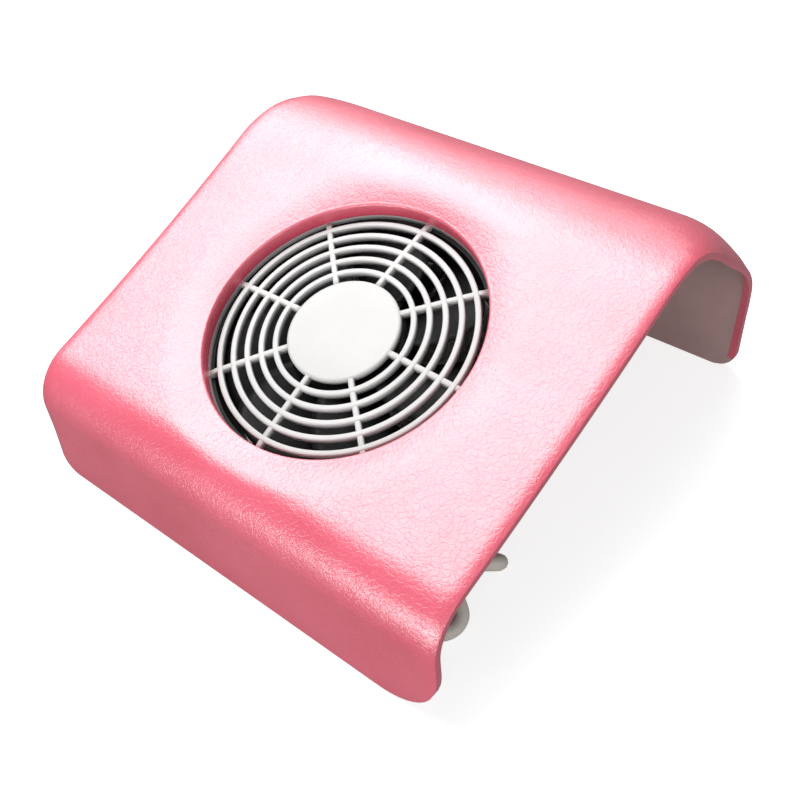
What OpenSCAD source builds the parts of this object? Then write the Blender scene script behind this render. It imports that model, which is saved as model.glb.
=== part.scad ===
// Desk dust collector for nail work: a one-piece arch that the hand rests on,
// with an axial fan let into its sloping top, a bag below the fan, a small
// switch box hung under the top and a mains cord kept coiled under the arch.
// Millimetres. X runs along the arch, Y from front to back, Z up from the table.

/* [Arch] */
// Length of the arch from one open end to the other
body_w = 213; // [180:1:260]
// Depth from the front foot to the back bend
body_d = 221; // [200:1:260]
// Height at which the front leg and the top would meet
front_h = 55.2; // [45:0.1:70]
// Slope of the top in degrees
panel_slope = 16.2; // [12:0.1:20]
// Outer radius of the front bend
front_r = 23.7; // [15:0.1:30]
// Outer radius of the back bend
back_r = 59.9; // [45:0.1:65]
// Backward lean of the front leg in degrees
front_lean = 2.3; // [0:0.1:6]
// Inward lean of the back leg in degrees
back_lean = 7.7; // [4:0.1:12]
// Wall thickness
wall = 3; // [2:0.1:4]
// Hollow of the top between its two bends
crown = 1.6; // [0:0.1:3]
// Radius of the rounded bottom corners of the legs
foot_r = 9; // [4:0.5:14]
// Larger radius of the front corner at the end with the switch
near_foot_r = 28; // [9:0.5:32]

/* [Fan opening] */
// Distance of the fan centre up the slope from the front bend
fan_up = 85; // [80:0.5:95]
// Diameter of the opening in the top
opening_d = 118; // [110:0.5:118]
// Depth of the shallow dish round the opening
dish = 1.9; // [1:0.1:3]
// Outer diameter of the dish
dish_d = 150; // [140:1:170]
// Depth of the guard's flange below the top
guard_drop = 9; // [8:0.1:12]
// Thickness of the guard's flange
flange_t = 2.5; // [2:0.1:4]

/* [Guard] */
// Diameter of the plain disc in the middle
disc_d = 47.4; // [40:0.1:52]
// Width of each ring
ring_w = 2.43; // [2:0.01:3]
// Spacing of the rings
ring_pitch = 6.26; // [5.5:0.01:6.3]
// Inner radius of the first ring
ring_first = 27.5; // [27:0.1:28]
// Number of rings
ring_count = 5; // [3:1:5]
// Depth of rings and spokes
ring_h = 3; // [2:0.1:4]
// Rise of the disc above the outermost ring
dome = 2.5; // [0:0.1:3]

/* [Fan] */
// Width of the square fan frame
fan_size = 120; // [120:1:121]
// Depth of the fan frame
fan_t = 25; // [25:0.1:26]
// Spacing of the four fan screws
hole_pitch = 105; // [104:0.1:106]
// Bore of the fan frame
fan_bore_d = 115; // [114:0.1:116]
// Tip diameter of the impeller
blade_tip_d = 112.6; // [110:0.1:113]
// Outer diameter of the impeller hub
hub_d = 48; // [46:0.1:50]
// Pitch of the blades in degrees
blade_pitch = 36; // [25:1:45]
// Number of blades
blade_count = 7; // [5:1:9]
// Shaft diameter
shaft_d = 3; // [2.5:0.1:3.5]
// Outer diameter of the bearings
bearing_d = 8; // [7:0.1:9]
// Radial clearance of the shaft in its bearings
shaft_fit = 0.03; // [0.01:0.01:0.1]
// Radial clearance of parts pushed into a seat
seat_fit = 0.05; // [0.02:0.01:0.1]
// Air gap between stator and rotor
air_gap = 0.6; // [0.4:0.1:1]

/* [Switch box] */
// Width of the box along the arch
box_w = 24; // [22:0.5:26]
// Length of the box up the slope
box_l = 62; // [56:0.5:66]
// Depth of the box below the top
box_h = 24; // [22:0.5:26]
// Wall of the box
box_wall = 2; // [1.5:0.1:3]
// Tilt of the rocker to each side in degrees
rocker_tilt = 7; // [5:0.5:9]
// Radial clearance of the rocker on its pin
pin_fit = 0.05; // [0.02:0.01:0.1]

/* [Bag] */
// Depth of the collar that carries the bag
collar_h = 12; // [10:0.5:14]
// Slack between bag cloth and collar
bag_gap = 0.4; // [0.3:0.1:1]

/* [Cord] */
// Diameter of the mains cord
cord_d = 6; // [5:0.1:7]
// Inner radius of the coil of cord
coil_r = 27; // [26:1:32]
// Layers of cord in the coil
coil_layers = 3; // [2:1:3]

/* [Hidden] */
$fn = 96;
e = 0.01;
function dir(a) = [cos(a), sin(a)];
// outward normals of front leg, top and back leg in the Y-Z plane
n_front = dir(180 - front_lean);
n_top = dir(90 + panel_slope);
n_back = dir(-back_lean);
a_front = 180 - front_lean;
a_top = 90 + panel_slope;
bend_v = [front_h * tan(front_lean), front_h];
c_front = bend_v - front_r * (n_front + n_top) / (1 + n_front * n_top);
c_back = [body_d - back_r,
          front_h + (body_d - back_r - bend_v[0]) * tan(panel_slope) - back_r / cos(panel_slope)];
t_front = c_front + front_r * n_top;
t_back = c_back + back_r * n_top;
leg_top = c_back + back_r * n_back;
foot_y = leg_top[0] - leg_top[1] * tan(back_lean);
up_slope = [cos(panel_slope), sin(panel_slope)];
fan_c = bend_v + fan_up * up_slope - crown * n_top;
// each entry: outer point and its outward normal
bend_steps = 20;
top_steps = 10;
front_arc = [for (i = [0:bend_steps])
    let (a = a_front + (a_top - a_front) * i / bend_steps) [c_front + front_r * dir(a), dir(a)]];
top_line = [for (i = [1:top_steps - 1])
    let (t = i / top_steps)
    [t_front + (t_back - t_front) * t - 4 * crown * t * (1 - t) * n_top, n_top]];
back_arc = [for (i = [0:2 * bend_steps])
    let (a = a_top + (-back_lean - a_top) * i / (2 * bend_steps))
    [c_back + back_r * dir(a), dir(a)]];
profile = concat([[[0, 0], n_front]], front_arc, top_line, back_arc, [[[foot_y, 0], n_back]]);
last = len(profile) - 1;
outer_pts = [for (p = profile) p[0]];
// the inner ends stay on the table plane
inner_pts = [for (i = [last:-1:0])
    let (q = profile[i][0] - wall * profile[i][1])
    i == 0 ? [wall / cos(front_lean), 0] : i == last ? [foot_y - wall / cos(back_lean), 0] : q];

opening_r = opening_d / 2;
flange_w = fan_size + 4;
frame_top = -guard_drop - flange_t;
frame_bot = frame_top - fan_t;
hole_c = hole_pitch / 2;
frame_plate = 4;
bore_r = fan_bore_d / 2;
hub_r = hub_d / 2;
tip_r = blade_tip_d / 2;
hub_top = frame_top - 2.5;
hub_wall = 1.5;
hub_low = frame_top - 19.5;
blade_low = frame_top - 19;
spider_t = 2.5;
strut_w = 6;
tube_r = 6.5;
tube_top = hub_top - hub_wall - 2.3;
bear_r = bearing_d / 2;
bear_h = 4;
bear_up = tube_top - bear_h;
bear_lo = frame_bot + 1.2;
shaft_r = shaft_d / 2;
rotor_out = hub_r - hub_wall - seat_fit;
stator_r = 18;
rotor_in = stator_r + air_gap;
core_top = hub_top - hub_wall - 3;
core_low = core_top - 10;
clip_t = 0.5;
screw_r = 2;
screw_top = -4.5;

box_x0 = fan_size / 2 + 5;
box_x1 = box_x0 + box_w;
box_y0 = -2;
box_y1 = box_y0 + box_l;
box_z1 = -wall - dish - 0.1;
box_z0 = -wall - box_h;
ear_l = 8;
sw_y = 18;
sw_z = (box_z0 + box_z1) / 2;
sw_pin_x = box_x1 - 2;
sw_len = 19.6;
sw_hgt = 13;
pin_r = 0.9;

collar_top = frame_bot;
collar_out = 59;
collar_in = 56.5;
collar_low = collar_top - collar_h;

module at_fan() {
    translate([0, fan_c[0] - body_d / 2, fan_c[1]])
        rotate([panel_slope, 0, 0])
            children();
}

module ring(r_out, r_in, z0, z1) {
    translate([0, 0, z0])
        difference() {
            cylinder(h = z1 - z0, r = r_out);
            translate([0, 0, -1])
                cylinder(h = z1 - z0 + 2, r = r_in);
        }
}

module at_corners() {
    for (sx = [-1, 1], sy = [-1, 1])
        translate([sx * hole_c, sy * hole_c, 0])
            children();
}

module block(x0, x1, y0, y1, z0, z1) {
    translate([x0, y0, z0])
        cube([x1 - x0, y1 - y0, z1 - z0]);
}

module arch() {
    translate([-body_w / 2, -body_d / 2, 0])
        rotate([90, 0, 90])
            linear_extrude(height = body_w)
                polygon(concat(outer_pts, inner_pts));
}

// what rounds off one bottom corner of a leg, at x = body_w / 2
module corner_cut(y0, y1, r) {
    difference() {
        block(body_w / 2 - r, body_w / 2 + 1, y0, y1, -1, r);
        translate([body_w / 2 - r, y0 - 1, r])
            rotate([-90, 0, 0])
                cylinder(h = y1 - y0 + 2, r = r);
    }
}

module box_ear_screw_at() {
    for (y = [box_y0 - ear_l / 2, box_y1 + ear_l / 2])
        translate([box_x0 + box_w / 2, y, 0])
            children();
}

// ---------------------------------------------------------------- shell
module shell() {
    color("#f0a0b4")
    difference() {
        union() {
            arch();
            at_fan() {
                translate([0, 0, -wall - dish])
                    cylinder(h = dish, r1 = opening_r + wall, r2 = dish_d / 2 - 4);
                translate([0, 0, -guard_drop])
                    cylinder(h = guard_drop - dish - 1, r = opening_r + wall);
                at_corners()
                    translate([0, 0, -guard_drop])
                        cylinder(h = guard_drop - 2, r = 5);
                box_ear_screw_at()
                    translate([0, 0, box_z1 - 4])
                        cylinder(h = 8.5, r = 3.4);
            }
        }
        at_fan() {
            translate([0, 0, -dish])
                cylinder(h = dish + 0.4, r1 = opening_r, r2 = dish_d / 2 + 4);
            translate([0, 0, -30])
                cylinder(h = 40, r = opening_r);
            at_corners()
                translate([0, 0, -guard_drop - 1])
                    cylinder(h = guard_drop - 2.5, r = screw_r + seat_fit);
            box_ear_screw_at()
                translate([0, 0, box_z1 - 5])
                    cylinder(h = 7.5, r = 1.25 + seat_fit);
        }
        for (s = [0, 1])
            mirror([s, 0, 0]) {
                corner_cut(-body_d / 2 - 1, -body_d / 2 + 12, s == 0 ? near_foot_r : foot_r);
                corner_cut(foot_y - body_d / 2 - 12, foot_y - body_d / 2 + 12, foot_r);
            }
    }
}

// ---------------------------------------------------------------- guard
function dome_z(r) = -5.6 - dome * pow(r / 55, 2);
spoke_steps = 6;
spoke_r0 = disc_d / 2 - 1;
spoke_r1 = opening_r - 2;
spoke_top = [for (i = [0:spoke_steps])
    let (r = spoke_r0 + (spoke_r1 - spoke_r0) * i / spoke_steps) [r, dome_z(r)]];
spoke_end = [[opening_r - 0.3, -guard_drop], [opening_r + 1.5, -guard_drop], [opening_r + 1.5, -guard_drop - flange_t]];
spoke_under = [for (i = [spoke_steps:-1:0]) [spoke_top[i][0], spoke_top[i][1] - ring_h]];

// as many rings as the opening has room for
rings_that_fit = min(ring_count, floor((spoke_r1 - ring_w - ring_first) / ring_pitch) + 1);

module fan_guard() {
    color("#f2f0ea")
    at_fan() {
        difference() {
            intersection() {
                block(-flange_w / 2, flange_w / 2, -flange_w / 2, flange_w / 2,
                      -guard_drop - flange_t, -guard_drop);
                translate([0, 0, -guard_drop - flange_t])
                    cylinder(h = flange_t, r = fan_size / 2 + 22);
            }
            translate([0, 0, -guard_drop - flange_t - 1])
                cylinder(h = flange_t + 2, r = opening_r);
            at_corners()
                translate([0, 0, -guard_drop - flange_t - 1])
                    cylinder(h = flange_t + 2, r = screw_r + 0.15);
        }
        translate([0, 0, dome_z(0) - ring_h])
            cylinder(h = ring_h - 0.2, r = disc_d / 2);
        for (i = [0:rings_that_fit - 1])
            let (r = ring_first + i * ring_pitch)
            ring(r + ring_w, r, dome_z(r) - ring_h, dome_z(r));
        for (a = [0:45:315])
            rotate([90, 0, a])
                translate([0, 0, -ring_w / 2])
                    linear_extrude(height = ring_w)
                        polygon(concat(spoke_top, spoke_end, spoke_under));
    }
}

// ---------------------------------------------------------------- fan frame
module frame_square(z0, z1) {
    intersection() {
        block(-fan_size / 2, fan_size / 2, -fan_size / 2, fan_size / 2, z0, z1);
        translate([0, 0, z0])
            cylinder(h = z1 - z0, r = fan_size / 2 * 1.34);
    }
}

module fan_frame() {
    color("#1c1c1e")
    at_fan() {
        difference() {
            union() {
                frame_square(frame_top - frame_plate, frame_top);
                frame_square(frame_bot, frame_bot + frame_plate);
                translate([0, 0, frame_bot])
                    cylinder(h = fan_t, r = fan_size / 2 - 0.1);
            }
            translate([0, 0, frame_bot - 1])
                cylinder(h = fan_t + 2, r = bore_r);
            at_corners()
                translate([0, 0, frame_bot - 1])
                    cylinder(h = fan_t + 2, r = screw_r + 0.15);
            translate([bore_r - 2, 0, lead_low])
                rotate([0, 90, 0])
                    cylinder(h = fan_size / 2 - bore_r + 3.5, r = 1.6);
        }
        difference() {
            union() {
                translate([0, 0, frame_bot])
                    cylinder(h = spider_t, r = hub_r);
                for (a = [0:90:270])
                    rotate([0, 0, a])
                        block(hub_r - 2, bore_r + 1, -strut_w / 2, strut_w / 2,
                              frame_bot, frame_bot + spider_t);
                translate([0, 0, frame_bot])
                    cylinder(h = tube_top - frame_bot, r = tube_r);
            }
            translate([0, 0, frame_bot - 1])
                cylinder(h = bear_lo + bear_h - frame_bot + 1, r = bear_r + seat_fit);
            translate([0, 0, bear_up])
                cylinder(h = bear_h + 1, r = bear_r + seat_fit);
            translate([0, 0, frame_bot])
                cylinder(h = fan_t, r = bear_r - 1.4);
        }
    }
}

// ---------------------------------------------------------------- impeller
module blade() {
    intersection() {
        translate([0, 0, blade_low])
            cylinder(h = hub_top - blade_low, r = tip_r);
        translate([hub_r - 1, 0, (hub_top + blade_low) / 2])
            rotate([blade_pitch, 0, 0])
                block(0, tip_r, -13, 13, -0.7, 0.7);
    }
}

module impeller() {
    color("#2a2a2c")
    at_fan() {
        difference() {
            translate([0, 0, hub_low])
                cylinder(h = hub_top - hub_low, r = hub_r);
            translate([0, 0, hub_low - 1])
                cylinder(h = hub_top - hub_low + 1 - hub_wall, r = hub_r - hub_wall);
            translate([0, 0, hub_low])
                cylinder(h = 40, r = shaft_r + seat_fit);
        }
        ring(3.2, shaft_r + seat_fit, hub_top - hub_wall - 1.2, hub_top - hub_wall + e);
        for (i = [0:blade_count - 1])
            rotate([0, 0, i * 360 / blade_count])
                blade();
    }
}

module rotor() {
    color("#8d9196")
    at_fan()
        ring(rotor_out, rotor_in, hub_low + 1, hub_top - hub_wall - 0.1);
}

module shaft() {
    color("#c9ccd0")
    at_fan()
        difference() {
            translate([0, 0, frame_bot + 0.3])
                cylinder(h = hub_top - 0.3 - frame_bot, r = shaft_r);
            ring(shaft_r + 1, shaft_r - 0.3, bear_lo - 0.75, bear_lo - 0.75 + clip_t);
        }
}

module shaft_clip() {
    color("#55585c")
    at_fan()
        difference() {
            ring(2.3, shaft_r - 0.25, bear_lo - 0.7, bear_lo - 0.3);
            block(0, 4, -0.6, 0.6, frame_bot, bear_lo);
        }
}

module bearing(z0) {
    at_fan()
        ring(bear_r, shaft_r + shaft_fit, z0, z0 + bear_h);
}

module bearing_upper() {
    color("#b9bcc0")
    bearing(bear_up);
}

module bearing_lower() {
    color("#b9bcc0")
    bearing(bear_lo);
}

module stator_core() {
    color("#77797c")
    at_fan()
        difference() {
            ring(stator_r, tube_r + seat_fit, core_low, core_top);
            for (a = [22.5:45:337.5])
                rotate([0, 0, a]) {
                    translate([12.6, 0, core_low - 1])
                        cylinder(h = 12, r = 2.6);
                    block(12.6, 20, -0.9, 0.9, core_low - 1, core_top + 1);
                }
        }
}

// one copper loop round each pole, over, under and down the slots beside it
module stator_coils() {
    color("#b06a35")
    at_fan() {
        for (z = [core_low - 1.8, core_top + 0.05])
            ring(15, 9.5, z, z + 1.75);
        for (a = [22.5:45:337.5])
            rotate([0, 0, a])
                translate([12.4, 0, core_low - 0.5])
                    cylinder(h = core_top - core_low + 1, r = 2.1);
    }
}

module screw(length, r, head_r, head_h) {
    difference() {
        union() {
            cylinder(h = length, r = r);
            translate([0, 0, -head_h])
                cylinder(h = head_h, r = head_r);
        }
        for (a = [0, 90])
            rotate([0, 0, a])
                block(-head_r * 0.6, head_r * 0.6, -0.45, 0.45, -head_h - 1, -head_h + 1.1);
    }
}

module fan_screws() {
    color("#c8c9cb")
    at_fan()
        at_corners()
            translate([0, 0, frame_bot])
                screw(screw_top - frame_bot, screw_r, 3.8, 2.4);
}

// ---------------------------------------------------------------- bag and its collar
module bag_collar() {
    color("#e9e6e0")
    at_fan() {
        difference() {
            frame_square(collar_top - 2.2, collar_top);
            translate([0, 0, collar_top - 3])
                cylinder(h = 4, r = collar_in);
            at_corners()
                translate([0, 0, collar_top - 3])
                    cylinder(h = 4, r = 4.4);
        }
        ring(collar_out, collar_in, collar_low, collar_top - 2);
        ring(collar_out + 1.2, collar_in, collar_low, collar_low + 1.6);
    }
}

module bag_elastic() {
    color("#d8d4cc")
    at_fan()
        ring(collar_out + 4.6, collar_out + 2.7, collar_low + 4.4, collar_low + 8.4);
}

module bag_knob(x, y, z, r) {
    translate([x, y - body_d / 2, z])
        sphere(r = r, $fn = 24);
}

module dust_bag() {
    color("#efece6")
    union() {
        at_fan() {
            ring(collar_out + 2.4, collar_out + 1.2 + bag_gap, collar_low - 1.5, collar_top - 2.7);
            translate([0, 0, collar_low - 3])
                cylinder(h = 3 - bag_gap, r = collar_out + 2.4);
        }
        hull() {
            at_fan()
                translate([0, 0, collar_low - 3])
                    cylinder(h = 1, r = collar_out + 1.6, $fn = 48);
            for (x = [-42, 42]) {
                bag_knob(x, 50, 7, 6.5);
                bag_knob(x, 112, 10.4, 10);
            }
        }
    }
}

// ---------------------------------------------------------------- switch box
module switch_box() {
    color("#e8b3bf")
    at_fan() {
        lid_screw_at()
            ring(3.4, 1.25 + seat_fit, box_z0 + 2, box_z0 + 12);
        difference() {
            union() {
                block(box_x0, box_x1, box_y0, box_y1, box_z0 + 2, box_z1);
                box_ear_screw_at()
                    block(-5, 5, -ear_l / 2 - 1, ear_l / 2 + 1, box_z1 - 6.5, box_z1 - 4.1);
            }
            block(box_x0 + box_wall, box_x1 - box_wall, box_y0 + box_wall, box_y1 - box_wall,
                  box_z0, box_z1 + 1);
            box_ear_screw_at()
                translate([0, 0, box_z1 - 8])
                    cylinder(h = 6, r = 1.45);
            block(box_x1 - box_wall - 1, box_x1 + 1, sw_y - sw_len / 2 - 0.1,
                  sw_y + sw_len / 2 + 0.1, sw_z - sw_hgt / 2 - 0.1, sw_z + sw_hgt / 2 + 0.1);
            translate([box_x0 - 1, lead_y, lead_up])
                rotate([0, 90, 0])
                    cylinder(h = box_wall + 2, r = 1.6);
            translate([gland_x, box_y0 - 1, gland_z])
                rotate([-90, 0, 0])
                    cylinder(h = box_wall + 2, r = gland_r + seat_fit);
        }
    }
}

module box_lid() {
    color("#dfa5b3")
    at_fan()
        difference() {
            block(box_x0, box_x1, box_y0, box_y1, box_z0, box_z0 + 1.95);
            lid_screw_at()
                translate([0, 0, box_z0 - 1])
                    cylinder(h = 5, r = 1.45);
        }
}

module lid_screw_at() {
    for (y = [box_y0 + 5, box_y1 - 5])
        translate([box_x1 - 4.8, y, 0])
            children();
}

module box_screws() {
    color("#c8c9cb")
    at_fan() {
        box_ear_screw_at()
            translate([0, 0, box_z1 - 6.55])
                screw(7, 1.25, 2.4, 1.5);
        lid_screw_at()
            translate([0, 0, box_z0 - 0.05])
                screw(9, 1.25, 2.4, 1.5);
    }
}

// ---------------------------------------------------------------- rocker switch
module switch_housing() {
    color("#202022")
    at_fan()
        difference() {
            union() {
                block(box_x1 - 14, box_x1 + 0.05, sw_y - sw_len / 2, sw_y + sw_len / 2,
                      sw_z - sw_hgt / 2, sw_z + sw_hgt / 2);
                block(box_x1 + 0.05, box_x1 + 1.8, sw_y - sw_len / 2 - 1.4, sw_y + sw_len / 2 + 1.4,
                      sw_z - sw_hgt / 2 - 1.2, sw_z + sw_hgt / 2 + 1.2);
            }
            block(box_x1 - 8, box_x1 + 3, sw_y - 8.8, sw_y + 8.8, sw_z - 5, sw_z + 5);
            translate([sw_pin_x, sw_y, sw_z - 7])
                cylinder(h = 14, r = pin_r + seat_fit, $fn = 32);
        }
}

module rocker() {
    color("#c23a3a")
    at_fan()
        translate([sw_pin_x, sw_y, sw_z - 4.8])
            rotate([0, 0, -rocker_tilt])
                linear_extrude(height = 9.6)
                    difference() {
                        polygon([[-3, -4], [1.5, -8], [4, -8.2], [3, 0], [4, 8.2], [1.5, 8], [-3, 4]]);
                        circle(r = pin_r + pin_fit, $fn = 32);
                    }
}

module rocker_pin() {
    color("#c9ccd0")
    at_fan()
        translate([sw_pin_x, sw_y, sw_z - 6.2])
            cylinder(h = 12.4, r = pin_r, $fn = 32);
}

module switch_tabs() {
    color("#c9a24a")
    at_fan()
        for (y = [sw_y - 5, sw_y + 5])
            block(box_x1 - 19.6, box_x1 - 14.05, y - 0.4, y + 0.4, sw_z - 2.4, sw_z + 2.4);
}

module terminal_block() {
    color("#e6e2d8")
    at_fan()
        difference() {
            block(box_x0 + 2.05, box_x0 + 14, lead_y - 9, lead_y + 9, box_z1 - 18, box_z1 - 8);
            for (y = [lead_y - 4.5, lead_y + 4.5])
                translate([box_x0 + 8, y, box_z1 - 14])
                    cylinder(h = 10, r = 2.1, $fn = 32);
        }
}

module block_screws() {
    color("#c9a24a")
    at_fan()
        for (y = [lead_y - 4.5, lead_y + 4.5])
            translate([box_x0 + 8, y, box_z1 - 13.95])
                difference() {
                    cylinder(h = 5, r = 2, $fn = 32);
                    block(-3, 3, -0.4, 0.4, 4, 6);
                }
}

// ---------------------------------------------------------------- wires and cord
// A tube of n sides along a list of points, closed at both ends.
function unit(v) = v / norm(v);
function lead_dir(p, i) = i == 0 ? unit(p[1] - p[0])
    : i == len(p) - 1 ? unit(p[i] - p[i - 1])
    : unit(unit(p[i] - p[i - 1]) + unit(p[i + 1] - p[i]));
function carry(u, d) = unit(u - (u * d) * d);
function sides_from(p, i, u) = i == len(p) ? []
    : let (w = carry(u, lead_dir(p, i))) concat([w], sides_from(p, i + 1, w));
// a smooth curve through the route points
function bez(a, b, c, d, t) = 0.5 * ((2 * b) + (c - a) * t
    + (2 * a - 5 * b + 4 * c - d) * t * t + (3 * b - a - 3 * c + d) * t * t * t);
function smooth(p, k) = concat([for (i = [0:len(p) - 2], j = [0:k - 1])
    bez(p[max(0, i - 1)], p[i], p[i + 1], p[min(len(p) - 1, i + 2)], j / k)], [p[len(p) - 1]]);

module tube(p, r, n) {
    u = sides_from(p, 0, abs(lead_dir(p, 0)[2]) > 0.8 ? [1, 0, 0] : [0, 0, 1]);
    pts = [for (i = [0:len(p) - 1], j = [0:n - 1])
        let (d = lead_dir(p, i), a = j * 360 / n)
        p[i] + r * (cos(a) * u[i] + sin(a) * cross(d, u[i]))];
    last_ring = (len(p) - 1) * n;
    sides = [for (i = [0:len(p) - 2], j = [0:n - 1])
        [i * n + j, i * n + (j + 1) % n, (i + 1) * n + (j + 1) % n, (i + 1) * n + j]];
    ends = [[for (j = [n - 1:-1:0]) j], [for (j = [0:n - 1]) last_ring + j]];
    polyhedron(points = pts, faces = [for (f = concat(sides, ends)) [for (k = [len(f) - 1:-1:0]) f[k]]]);
}

lead_low = frame_bot + 3.45;
lead_up = box_z1 - 13;
lead_y = 40;
lead_route = [[11, 0, core_low - 2.8], [17, 0, lead_low], [25, 0, lead_low], [37, 0, lead_low], [50, 0, lead_low], [58.5, 0, lead_low],
              [box_x0 - 3.1, 0.6, lead_low], [box_x0 - 2, 5, lead_low + 1], [box_x0 - 2.2, 14, lead_low + 4],
              [box_x0 - 2.4, 26, lead_up - 4],
              [box_x0 - 2.2, 36, lead_up], [box_x0 - 0.5, lead_y, lead_up], [box_x0 + 1.9, lead_y, lead_up]];

module fan_leads() {
    color("#3a3a3c")
    at_fan()
        tube(smooth(lead_route, 3), 0.9, 8);
}

gland_x = box_x0 + 7.6;
gland_z = box_z0 + 9;
gland_r = 4.2;
relief_l = 24;

module strain_relief() {
    color("#8f8b82")
    at_fan()
        translate([gland_x, box_y0, gland_z])
            rotate([90, 0, 0]) {
                translate([0, 0, -box_wall - 1.5])
                    cylinder(h = box_wall + 2, r = gland_r);
                translate([0, 0, -box_wall - 1.5])
                    cylinder(h = 1.4, r = gland_r + 0.8);
                translate([0, 0, 0.05])
                    cylinder(h = 2, r = 5.2);
                cylinder(h = relief_l, r1 = 4.4, r2 = 3.4);
            }
}

wire_routes = [
    [[box_x0 + 9, 1.9, -18], [box_x0 + 6, 7, -19], [box_x0 + 3.6, 11, -17], [box_x0 + 3.4, 13, -16]],
    [[box_x0 + 6.4, 1.9, -19.5], [box_x0 + 3.6, 9, -22], [box_x0 + 3.6, 20, -22], [box_x0 + 4.2, 27, -21], [box_x0 + 6, 30.4, -18.4]],
    [[box_x0 + 3.4, 23, -16], [box_x0 + 3.6, 27, -15.4], [box_x0 + 5, 30.4, -15.2]]];

module box_wires() {
    color("#3f6ea8")
    at_fan()
        for (route = wire_routes)
            tube(smooth(route, 4), 0.8, 8);
}

// The visible loops of the cord lie on the table under the right-hand end;
// from there it runs behind the bag to the coil. Y counts from the front foot.
cord_r = cord_d / 2;
function on_fan(p) = [p[0], fan_c[0] + p[1] * cos(panel_slope) - p[2] * sin(panel_slope),
                      fan_c[1] + p[1] * sin(panel_slope) + p[2] * cos(panel_slope)];
cord_start = on_fan([gland_x, box_y0 - relief_l - 0.6, gland_z]);
cord_start2 = on_fan([gland_x, box_y0 - relief_l - 8, gland_z]);
coil_x = -50;
coil_y = 170;
coil_z = 1.6;
coil_out = coil_r + 2 * cord_d;
coil_top = coil_z + coil_layers * cord_d;
lane = coil_out - cord_r;
ring_gap = sqrt(coil_out * coil_out - pow(lane - cord_r, 2));
cord_route = [cord_start, cord_start2, [75, 44, 38], [77, 33, 22], [79.5, 26.8, 8.5],
              [83, 27.6, 3.6], [86.6, 30.6, 3.1], [88.4, 35, 3.1], [87.6, 39.8, 4],
              [84, 43, 6], [79, 45, 8], [73.5, 47.5, 9.2], [70.5, 51.5, 9.3], [72.5, 55.5, 9.3],
              [76.5, 58, 9.3], [80.8, 60, 9.3], [84.2, 62.8, 8.9], [86, 66, 6.9],
              [85, 68.6, 4.3], [82, 68.3, 3.1], [77, 65.8, 3.1], [70.5, 65.5, 3.1],
              [65, 71, 3.1], [61, 82, 3.1], [60, 104, 3.1], [57, 122, 3.1],
              [40, coil_y - lane + 0.5, 3.4], [10, coil_y - lane, 4.2],
              [coil_x + ring_gap + 0.6, coil_y - lane, coil_z + cord_r]];
tail_route = [[coil_x - ring_gap - 0.6, coil_y - lane, coil_top - cord_r],
              [-77, coil_y - lane - 1.5, 12.5], [-87, 125, 8.6], [-91, 112, 8], [-91, 98, 8]];

module on_table() {
    translate([0, -body_d / 2, 0])
        children();
}

module power_cord() {
    color("#96918a")
    on_table()
        tube(smooth(cord_route, 3), cord_r, 12);
}

module cord_coil() {
    color("#96918a")
    on_table()
        translate([coil_x, coil_y, 0])
            ring(coil_out, coil_r, coil_z, coil_top);
}

module cord_tail() {
    color("#96918a")
    on_table()
        tube(smooth(tail_route, 5), cord_r, 12);
}

module cord_tie() {
    color("#2c2c2e")
    on_table()
        translate([coil_x, coil_y, 0])
            difference() {
                block(-2.5, 2.5, coil_r - 1.4, coil_out + 1.4, coil_z - 1.4, coil_top + 1.4);
                block(-3, 3, coil_r - 0.3, coil_out + 0.3, coil_z - 0.3, coil_top + 0.3);
            }
}

module plug_body() {
    color("#8b867e")
    on_table()
        translate([-91, 0, 8]) {
            translate([0, 97.9, 0])
                rotate([90, 0, 0])
                    cylinder(h = 20, r1 = 3.5, r2 = 5.2);
            translate([0, 78.5, 0])
                rotate([90, 0, 0])
                    linear_extrude(height = 30.5)
                        intersection() {
                            square([25, 15], center = true);
                            circle(r = 12.9);
                        }
        }
}

module plug_blades() {
    color("#c9ccd0")
    on_table()
        for (s = [-1, 1])
            block(-91 + s * 6.35 - 0.75, -91 + s * 6.35 + 0.75, 30.5, 47.95, 4.8, 11.2);
}

shell();
fan_guard();
fan_frame();
impeller();
rotor();
shaft();
shaft_clip();
bearing_upper();
bearing_lower();
stator_core();
stator_coils();
fan_screws();
bag_collar();
dust_bag();
bag_elastic();
switch_box();
box_lid();
box_screws();
switch_housing();
rocker();
rocker_pin();
switch_tabs();
terminal_block();
block_screws();
fan_leads();
box_wires();
strain_relief();
power_cord();
cord_coil();
cord_tail();
cord_tie();
plug_body();
plug_blades();
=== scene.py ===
import math

import bmesh
import bpy
from mathutils import Matrix, Vector


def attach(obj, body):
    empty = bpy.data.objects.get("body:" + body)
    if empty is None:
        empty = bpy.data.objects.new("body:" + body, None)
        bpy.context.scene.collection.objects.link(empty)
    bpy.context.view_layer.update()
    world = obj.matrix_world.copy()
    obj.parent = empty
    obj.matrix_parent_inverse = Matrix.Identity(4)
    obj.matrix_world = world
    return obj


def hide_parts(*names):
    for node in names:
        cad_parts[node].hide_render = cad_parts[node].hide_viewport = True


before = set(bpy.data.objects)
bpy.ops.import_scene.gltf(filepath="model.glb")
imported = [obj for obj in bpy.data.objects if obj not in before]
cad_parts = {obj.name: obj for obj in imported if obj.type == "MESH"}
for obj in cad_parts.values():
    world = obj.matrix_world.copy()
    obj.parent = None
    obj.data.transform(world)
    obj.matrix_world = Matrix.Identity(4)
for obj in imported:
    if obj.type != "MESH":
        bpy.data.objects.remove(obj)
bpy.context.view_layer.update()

scene = bpy.context.scene

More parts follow.
